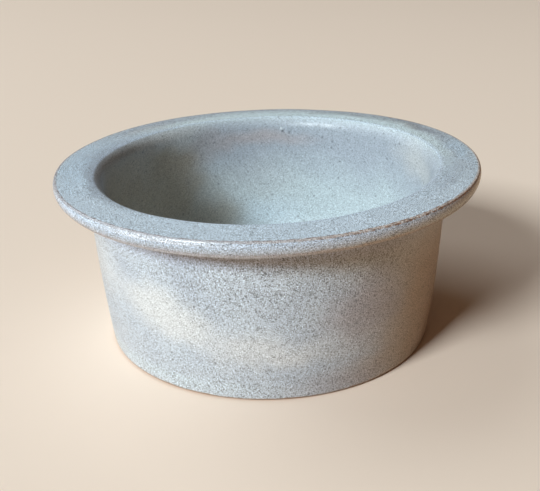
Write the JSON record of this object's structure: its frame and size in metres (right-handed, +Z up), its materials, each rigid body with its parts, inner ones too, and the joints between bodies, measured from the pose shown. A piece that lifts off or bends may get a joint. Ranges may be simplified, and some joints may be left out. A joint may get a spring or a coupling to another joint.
{
  "type": "ceramic planter",
  "caption": "Round glazed stoneware planter with a wide flat flange for a rim, a tapering wall and a turned foot ring; holds a plant in its own inner pot.",
  "frame": {"origin": "centre of the plane that the foot ring stands on", "axes": "+Z up along the pot's axis; the pot is round, so X and Y are any two level directions"},
  "size_m": [0.18, 0.18, 0.075],
  "materials": {
    "glaze": "satin"
  },
  "bodies": {
    "root": {"stoneware_pot": "glaze"}
  },
  "joints": []
}
